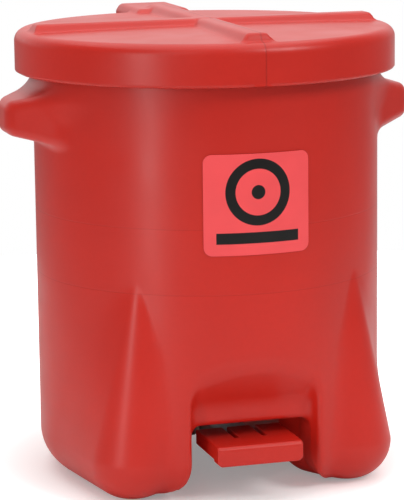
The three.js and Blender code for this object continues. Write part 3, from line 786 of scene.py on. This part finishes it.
def can_inside(can, x, y, z):
    """The hollow of the can, open upwards, with the screw boss on the tunnel's roof left standing."""
    y = y - AXIS_Y
    boss_half, boss_top = 0.030, 0.078
    boss = np.maximum(np.abs(x) - boss_half, np.abs(y - (PIVOT.y - AXIS_Y)) - boss_half)
    boss = round_max(boss, z - boss_top, radius=0.002)
    hollow = round_max(can_form(can, x, y, z) + can.wall, -boss, radius=0.002)
    return np.maximum(hollow, z - RIM_Z - 0.006)


class WASTECAN_OT_body(bpy.types.Operator):
    """Make the hollow can with its feet, ears, pedal recess and tunnel"""

    bl_idname = "waste_can.body"
    bl_label = "Can Body"

    def execute(self, context):
        can = context.scene.waste_can_body
        fine, coarse = can.fine_step, can.coarse_step
        edge = 2 * fine
        plain_low, plain_high, lip_low, lip_step = can.foot_top + 0.005, 0.280, 0.378, 0.0018
        grid = [
            ticks((CAN_LOW.x - edge, CAN_HIGH.x + edge, fine)),
            ticks((CAN_LOW.y - edge, CAN_HIGH.y + edge, fine)),
            ticks((-edge, plain_low, fine), (plain_low, plain_high, coarse), (plain_high, lip_low, fine),
                  (lip_low, RIM_Z + edge, lip_step)),
        ]
        outside = modelled("can_shell", can_outside, can, grid)
        grid = [
            ticks((CAN_LOW.x, CAN_HIGH.x, coarse)),
            ticks((CAN_LOW.y, CAN_HIGH.y, coarse)),
            ticks((0.0, RIM_Z + 3 * coarse, coarse)),
        ]
        inside = modelled("can_hollow", can_inside, can, grid)
        shell = hollowed(outside, inside)
        shade(shell, 50.0)
        settle(shell, "can", "red_polyethylene", finish("body"), "can_body")
        return {"FINISHED"}


class WASTECAN_OT_label(bpy.types.Operator):
    """Make the label, a thin sheet with round corners that follows the barrel"""

    bl_idname = "waste_can.label"
    bl_label = "Label"

    def execute(self, context):
        middle = (LABEL_LOW + LABEL_HIGH) / 2
        half_w = LABEL_HIGH.x - middle.x
        half_h = LABEL_HIGH.z - middle.z
        corner, thickness, rows, corner_steps, columns = 0.007, 0.0003, 12, 9, 30
        radius = AXIS_Y - LABEL_LOW.y - thickness
        turn = np.linspace(0.0, math.pi / 2, corner_steps)
        right = half_w - corner + corner * np.sin(turn)
        straight = np.linspace(-half_w + corner, half_w - corner, columns)[1:-1]
        across = np.concatenate([-right[::-1], straight, right])
        into = np.clip((np.abs(across) - half_w + corner) / corner, 0.0, 1.0)
        tall = half_h - corner + corner * np.sqrt(1 - into * into)
        up = np.linspace(-1.0, 1.0, rows)
        x = np.repeat(across, rows)
        z = middle.z + np.outer(tall, up).ravel()
        y = AXIS_Y - np.sqrt(radius * radius - x * x)
        faces = [
            (i * rows + j, (i + 1) * rows + j, (i + 1) * rows + j + 1, i * rows + j + 1)
            for i in range(len(across) - 1) for j in range(rows - 1)
        ]
        sheet = from_lists("label_sheet", np.stack([x, y, z], axis=1), faces)
        wall = sheet.modifiers.new("Thickness", "SOLIDIFY")
        wall.thickness = thickness
        wall.offset = 1.0
        applied(sheet)
        shade(sheet, 40.0)
        settle(sheet, "can", "label_vinyl", finish("vinyl"), "label")
        return {"FINISHED"}


# ---- the lid
def lid_dome(lid, x, y, z, inset):
    """The lid's round cover, drawn in by inset."""
    around = np.hypot(x, y)
    centre_rise = 0.0006  # height of the lid's centre over the ribs' feet
    centre_z = LID_HIGH.z - lid.rib_height + centre_rise
    top = z - centre_z + lid.crown * (around / LID_R) ** 2 + inset
    return round_max(around - LID_R + inset, top, lid.edge_round - inset)


def lid_ribs(lid, x, y, z, inset):
    """The four ribs, which meet in the lid's middle."""
    top = z - LID_HIGH.z + inset
    lean = (lid.rib_base_half - lid.rib_top_half) / lid.rib_height
    end_lean = 0.55  # run of a rib's end for each metre down
    deepest = 0.0154  # where the ribs' shapes stop, inside the lid
    down = LID_HIGH.z - z
    ribs = None
    for across, along in ((x, y), (y, x)):
        flank = (np.abs(across) - lid.rib_top_half - down * lean) / math.hypot(1.0, lean) + inset
        end = (np.abs(along) - lid.rib_reach - down * end_lean) / math.hypot(1.0, end_lean) + inset
        rib = round_max(np.maximum(flank, end), top, radius=0.0016)
        ribs = rib if ribs is None else round_min(ribs, rib, radius=0.002)
    return np.maximum(ribs, down - deepest)


def lid_hood(lid, x, y, z, inset, side_inset):
    """The raised hood at the back, over the hinge."""
    top_z = LID_HIGH.z - lid.hood_drop
    shoulder, top_half = 0.006, 0.023  # height and half width of the top, where the sides lean inwards
    upright = np.abs(x) - lid.hood_half + side_inset
    leaning = through(np.abs(x), z, (lid.hood_half - side_inset, top_z - shoulder), (top_half, top_z))
    side = np.where(z > top_z - shoulder, np.maximum(upright, leaning), upright)
    leaning_45 = 0.7  # makes the field of the front, which leans by 45 degrees, a true distance
    front = (lid.hood_front - (top_z - z) - y) * leaning_45 + inset
    back = y - HOOD_BACK + inset
    corner, least = 0.004, 0.0006
    shell = round_max(round_max(side, back, max(corner - inset, least)), z - top_z + inset, radius=0.0025)
    return round_max(shell, front, radius=0.003)


def lid_outside(lid, x, y, z):
    """The outer solid of the lid."""
    y = y - AXIS_Y
    body = round_min(lid_dome(lid, x, y, z, 0.0), lid_ribs(lid, x, y, z, 0.0), radius=0.0016)
    body = round_max(body, LID_SKIRT - z, radius=0.0012)
    hinge_y = HINGE.y - AXIS_Y
    knuckle_drop, knuckle_run, back_rise = 0.0088, 0.007, 0.018  # the hood's underside, from the hinge pin
    corner = through(y, z, (hinge_y + knuckle_run, HINGE.z), (HOOD_BACK, HINGE.z + back_rise))
    low = round_max((HINGE.z - knuckle_drop) - z, corner, radius=0.007)
    hood = lid_hood(lid, x, y, z, 0.0, 0.0)
    return round_min(body, np.maximum(hood, low), radius=0.0022)


def lid_inside(lid, x, y, z):
    """The hollow of the lid and its hood, open downwards."""
    y = y - AXIS_Y
    wall = bpy.context.scene.waste_can_body.wall
    hollow = np.minimum(lid_dome(lid, x, y, z, wall), lid_ribs(lid, x, y, z, wall))
    hood = lid_hood(lid, x, y, z, wall, lid.cheek)
    hollow = round_min(hollow, hood, radius=0.001)
    return np.maximum(hollow, LID_SKIRT - 0.010 - z)


class WASTECAN_OT_lid(bpy.types.Operator):
    """Make the lid with its skirt, ribs and hood"""

    bl_idname = "waste_can.lid"
    bl_label = "Lid"

    def execute(self, context):
        lid = context.scene.waste_can_lid
        fine, coarse = lid.fine_step, lid.coarse_step
        edge = 2 * fine
        rib_low, rib_step = LID_HIGH.z - 0.012, 0.0015
        grid = [
            ticks((-LID_R - edge, LID_R + edge, fine)),
            ticks((LID_LOW.y - edge, LID_HIGH.y + edge, fine)),
            ticks((LID_SKIRT - edge, rib_low, fine), (rib_low, LID_HIGH.z + 2 * rib_step, rib_step)),
        ]
        outside = modelled("lid_cover", lid_outside, lid, grid)
        grid = [
            ticks((-LID_R, LID_R, coarse)),
            ticks((LID_LOW.y, LID_HIGH.y, coarse)),
            ticks((LID_SKIRT - 4 * coarse, LID_HIGH.z, coarse * 0.6)),
        ]
        inside = modelled("lid_hollow", lid_inside, lid, grid)
        cover = hollowed(outside, inside)
        shade(cover, 50.0)
        settle(cover, "lid", "red_polyethylene", finish("lid"), "lid_shell")
        return {"FINISHED"}


# ---- the pedal
def tread_form(pedal, x, y, z):
    """The moulded tread: a front block, a thinner rear, pockets below and slots on top."""
    front, back = PEDAL_LOW.y, PEDAL_HIGH.y
    low, high, half = PEDAL_LOW.z, PEDAL_HIGH.z, PEDAL_HIGH.x
    block = np.maximum(low - z, y - front - pedal.block_depth)
    rear = low + pedal.step_up - z
    under = np.minimum(np.maximum(low - z, block), np.maximum(rear, y - back))
    side = np.abs(x) - half
    corner_cut, front_wall, rear_wall, roof, wells_gap = 0.0021, 0.0016, 0.004, 0.0060, 0.003
    corner = (side + (low - z)) / math.sqrt(2) + corner_cut
    shape = round_max(np.maximum(side, corner), under, radius=0.0012)
    shape = round_max(shape, z - high, radius=0.0009)
    shape = round_max(shape, np.maximum(front - y, y - back), radius=0.0010)
    edge = ((front - y) + (z - high) + pedal.chamfer) / math.sqrt(2)
    shape = np.maximum(shape, edge)
    block_back, pocket_half, wells_middle, wells_half = front + pedal.block_depth, 0.0154, 0.02625, 0.00725
    pocket = np.maximum(np.abs(x) - pocket_half, block_back - front_wall - y)
    pocket = np.maximum(pocket, z - (high - roof))
    wells = np.maximum(np.abs(np.abs(x) - wells_middle) - wells_half, block_back + wells_gap - y)
    wells = np.maximum(np.maximum(wells, y - back + rear_wall), z - (high - roof))
    slot_left, slot_right = -0.012, 0.013
    slots = np.minimum(np.abs(x - slot_left), np.abs(x - slot_right)) - pedal.slot_width / 2
    slots = np.maximum(np.maximum(slots, front + pedal.slot_start - y), high - pedal.slot_depth - z)
    for removed in (pocket, wells, slots):
        shape = round_max(shape, -removed, radius=0.0006)
    return shape


class WASTECAN_OT_tread(bpy.types.Operator):
    """Make the pedal's moulded tread"""

    bl_idname = "waste_can.tread"
    bl_label = "Pedal Tread"

    def execute(self, context):
        pedal = context.scene.waste_can_pedal
        step = pedal.mesh_step
        grid = [ticks((PEDAL_LOW[i] - 2 * step, PEDAL_HIGH[i] + 2 * step, step)) for i in range(3)]
        tread = modelled("pedal_tread", tread_form, pedal, grid, 60.0)
        settle(tread, "pedal", "red_polyethylene", finish("pedal"), "foot_pedal")
        return {"FINISHED"}


# ---- sheet steel
class WASTECAN_OT_sheet_steel(bpy.types.Operator):
    """Make the folded and punched steel pieces, with deburred edges"""

    bl_idname = "waste_can.sheet_steel"
    bl_label = "Sheet Steel"

    def execute(self, context):
        edge = context.scene.waste_can_hardware.edge
        for node, body in (("hinge_bracket", "can"), ("rod_guide", "can"), ("pedal_bracket", "can"),
                           ("lift_bracket", "lid"), ("lever_arm", "pedal")):
            piece = deburred(node, node + "_sheet", edge)
            settle(piece, body, "zinc_steel", finish("zinc"), node)
        return {"FINISHED"}


# ---- fasteners, pins and bushes
def boxes(nodes):
    """The low corner, the high corner and the middle of each CAD node's box."""
    for node in nodes:
        low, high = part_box(node)
        yield low, high, (low + high) / 2


def outward(point):
    """The level direction from the can's axis through a point."""
    way = Vector((point.x, point.y - AXIS_Y, 0.0))
    return way.normalized()


class WASTECAN_OT_fasteners(bpy.types.Operator):
    """Make the rivets, screws and push nuts"""

    bl_idname = "waste_can.fasteners"
    bl_label = "Fasteners"

    def execute(self, context):
        up = Vector((0.0, 0.0, 1.0))
        back = Vector((0.0, 1.0, 0.0))
        depth = 0.0118  # of a rivet, from the top of its head to its blind end
        screw_radius = 0.0042

        def rivets(name, body, node, count, radius, facing):
            nodes = [f"{node}_{i}" for i in range(1, count + 1)]
            places = []
            for low, high, middle in boxes(nodes):
                way = facing(middle)
                size = high - low
                half = (size.x * abs(way.x) + size.y * abs(way.y)) / 2
                places.append((middle + way * half, way))
            turned_group(name, body, nodes, RIVET_PROFILE, "aluminium", places, radius, -depth, 0.0)

        def screws(name, body, node, count):
            nodes = [f"{node}_{i}" for i in range(1, count + 1)]
            places = []
            for low, high, middle in boxes(nodes):
                places.append((Vector((middle.x, middle.y, low.z)), up))
            tall = high.z - low.z
            turned_group(name, body, nodes, SCREW_PROFILE, "zinc", places, screw_radius, 0.0, tall)

        def nuts(name, body, *nodes):
            places = []
            for low, high, middle in boxes(nodes):
                side = -1.0 if middle.x < 0 else 1.0
                inner = low.x if side > 0 else high.x
                places.append((Vector((inner, middle.y, middle.z)), Vector((side, 0.0, 0.0))))
            radius = (high.z - low.z) / 2
            turned_group(name, body, nodes, NUT_PROFILE, "spring", places, radius, 0.0, high.x - low.x)

        rivets("hinge_bracket_rivets", "can", "hinge_bracket_rivet", 4, 0.005, outward)
        rivets("rod_guide_rivets", "can", "rod_guide_rivet", 2, 0.0036, outward)
        rivets("lift_bracket_rivets", "lid", "lift_bracket_rivet", 2, 0.005, lambda point: back)
        screws("pedal_bracket_screws", "can", "pedal_bracket_screw", 4)
        screws("lever_screws", "pedal", "lever_screw", 2)
        nuts("hinge_pin_nuts", "lid", "hinge_pin_nut_left", "hinge_pin_nut_right")
        nuts("pedal_axle_nuts", "can", "pedal_axle_nut_left", "pedal_axle_nut_right")
        nuts("lift_rod_nuts", "lift_rod", "lift_rod_nut_lower", "lift_rod_nut_upper")
        return {"FINISHED"}


class WASTECAN_OT_pins(bpy.types.Operator):
    """Make the hinge pin, the pedal's axle and its bushes"""

    bl_idname = "waste_can.pins"
    bl_label = "Pins and Bushes"

    def execute(self, context):
        pin_radius = context.scene.waste_can_hardware.pin_radius
        right = Vector((1.0, 0.0, 0.0))

        def crosswise(name, body, nodes, profile, key, radius=None):
            places = []
            for low, high, middle in boxes(nodes):
                places.append((Vector((low.x, middle.y, middle.z)), right))
            radius = radius or (high.z - low.z) / 2
            turned_group(name, body, nodes, profile, key, places, radius, 0.0, high.x - low.x)

        crosswise("hinge_pin_turned", "lid", ["hinge_pin"], PIN_PROFILE, "zinc", pin_radius)
        crosswise("pedal_axle_turned", "can", ["pedal_axle"], PIN_PROFILE, "zinc", pin_radius)
        crosswise("pivot_bushes", "pedal", ["pivot_bush_left", "pivot_bush_right"], BUSH_PROFILE, "nylon")
        return {"FINISHED"}


class WASTECAN_OT_lift_rod(bpy.types.Operator):
    """Make the lift rod, a steel wire with two bent ends"""

    bl_idname = "waste_can.lift_rod"
    bl_label = "Lift Rod"

    def execute(self, context):
        hardware = context.scene.waste_can_hardware
        low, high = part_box("lift_rod")
        wire = hardware.wire_radius
        y = ROD_FOOT.y
        foot, head = low.z + wire, high.z - wire
        past_nut = 0.0027
        upper_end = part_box("lift_rod_nut_upper")[1].x + past_nut
        corners = [(high.x, y, foot), (0.0, y, foot), (0.0, y, head), (upper_end, y, head)]
        tree, given, result = new_tree("Bent wire", {
            "Wire radius": ("NodeSocketFloat", wire), "Bend radius": ("NodeSocketFloat", 0.005)
        })
        path = add(tree, "GeometryNodeMeshToCurve", {0: given.outputs["Geometry"]})
        bent = add(tree, "GeometryNodeFilletCurve", {
            "Curve": path.outputs[0], "Count": 10, "Radius": given.outputs["Bend radius"]
        }, mode="POLY")
        section = add(tree, "GeometryNodeCurvePrimitiveCircle", {
            "Resolution": 24, "Radius": given.outputs["Wire radius"]
        })
        swept = add(tree, "GeometryNodeCurveToMesh", {
            "Curve": bent.outputs[0], "Profile Curve": section.outputs[0], "Fill Caps": True
        })
        send_out(tree, result, swept.outputs[0], finish("zinc"))
        rod = grown("lift_rod_wire", corners, [(0, 1), (1, 2), (2, 3)], tree,
                    {"Wire radius": wire, "Bend radius": hardware.wire_bend})
        settle(rod, "lift_rod", "zinc_steel", finish("zinc"), "lift_rod")
        return {"FINISHED"}


# ---- stage
FLOOR_GAP = 0.0002  # keeps the floor's face apart from the can's base
LAMPS = (  # name, place, width and height, watts
    ("Key", (-1.3, -2.0, 1.7), (0.9, 0.9), 5.0),
    ("Fill", (1.3, -1.8, 1.9), (1.0, 1.0), 26.0),
    ("Strip", (-1.1, -0.9, 0.35), (0.10, 0.9), 4.0),
    ("Top", (0.0, 0.2, 2.6), (3.2, 3.2), 50.0),
)


class WASTECAN_OT_stage(bpy.types.Operator):
    """Make the floor, the lights and the camera"""

    bl_idname = "waste_can.stage"
    bl_label = "Stage"

    def execute(self, context):
        stage = context.scene.waste_can_stage
        turn = np.linspace(0.0, math.tau, 96, endpoint=False)
        edge = np.stack([np.cos(turn), np.sin(turn), 0.0 * turn], axis=1) * stage.floor_radius
        floor = from_lists("studio_floor", edge, [range(len(edge))])
        floor.location.z = -FLOOR_GAP
        floor.data.materials.append(lit_floor("Matt white acrylic, lit", stage.floor))

        context.scene.view_settings.view_transform = "Standard"
        world = bpy.data.worlds.new("Studio")
        world.use_nodes = True
        tree = world.node_tree
        way = add(tree, "ShaderNodeTexCoord").outputs["Generated"]
        split = add(tree, "ShaderNodeSeparateXYZ", {0: way})
        behind = remap(tree, split.outputs["Y"], 0.4, 0.98, 0.0, 1.0, "SMOOTHSTEP")
        above = remap(tree, split.outputs["Z"], -0.02, 0.12, 0.0, 0.85, "SMOOTHSTEP")
        right_side = remap(tree, split.outputs["X"], 0.0, 0.55, 0.10, 0.62, "SMOOTHSTEP")
        wall = calc(tree, "MAXIMUM", above, right_side)
        glow = calc(tree, "MULTIPLY_ADD", behind, wall, 0.24)
        seen = add(tree, "ShaderNodeLightPath").outputs["Is Camera Ray"]
        strength = calc(tree, "MAXIMUM", glow, seen)
        feed(tree, tree.nodes["Background"], {"Color": (1.0, 1.0, 1.0, 1.0), "Strength": strength})
        context.scene.world = world

        aim = Vector((0.0, AXIS_Y, stage.aim_height))
        for name, place, size, power in LAMPS:
            lamp = bpy.data.lights.new(name, "AREA")
            lamp.shape = "RECTANGLE"
            lamp.size, lamp.size_y = size
            lamp.energy = power
            holder = placed(name, lamp)
            holder.location = place
            holder.rotation_euler = (Vector(place) - aim).to_track_quat("Z", "Y").to_euler()

        forward = Vector((
            math.sin(stage.azimuth) * math.cos(stage.pitch),
            math.cos(stage.azimuth) * math.cos(stage.pitch),
            -math.sin(stage.pitch),
        ))
        right = Vector((math.cos(stage.azimuth), -math.sin(stage.azimuth), 0.0))
        up = right.cross(forward)
        level = Matrix((right, up, -forward)).transposed()
        lean = Matrix.Rotation(stage.roll, 3, "Z")
        lens = bpy.data.cameras.new("Camera")
        lens.lens = stage.focal
        lens.sensor_width = 36.0
        lens.shift_x = stage.shift
        lens.clip_start = 0.05
        lens.clip_end = 50.0
        camera = placed("Camera", lens)
        camera.location = aim - forward * stage.distance
        camera.rotation_euler = (level @ lean).to_euler()
        context.scene.camera = camera
        return {"FINISHED"}


# ---- panel and registration
OPERATORS = (
    WASTECAN_OT_stage, WASTECAN_OT_body, WASTECAN_OT_label, WASTECAN_OT_lid, WASTECAN_OT_tread,
    WASTECAN_OT_sheet_steel, WASTECAN_OT_fasteners, WASTECAN_OT_pins, WASTECAN_OT_lift_rod,
)
SETTINGS = {
    "waste_can_body": CanSettings, "waste_can_lid": LidSettings, "waste_can_pedal": PedalSettings,
    "waste_can_hardware": HardwareSettings, "waste_can_stage": StageSettings,
}


class WASTECAN_PT_panel(bpy.types.Panel):
    """Lists the pieces and their settings"""

    bl_idname = "WASTECAN_PT_panel"
    bl_label = "Waste Can"
    bl_space_type = "VIEW_3D"
    bl_region_type = "UI"
    bl_category = "Waste Can"

    def draw(self, context):
        layout = self.layout
        for operator in OPERATORS:
            layout.operator(operator.bl_idname)
        for name in SETTINGS:
            group = getattr(context.scene, name)
            box = layout.box()
            for setting in group.bl_rna.properties:
                if setting.identifier not in ("rna_type", "name"):
                    box.prop(group, setting.identifier)


CLASSES = (*SETTINGS.values(), *OPERATORS, WASTECAN_PT_panel)


def register():
    for each in CLASSES:
        bpy.utils.register_class(each)
    for name, group in SETTINGS.items():
        setattr(bpy.types.Scene, name, PointerProperty(type=group))


def unregister():
    for name in SETTINGS:
        delattr(bpy.types.Scene, name)
    for each in reversed(CLASSES):
        bpy.utils.unregister_class(each)


def main():
    register()
    for operator in OPERATORS:
        category, action = operator.bl_idname.split(".")
        getattr(getattr(bpy.ops, category), action)()


if __name__ == "__main__":
    main()
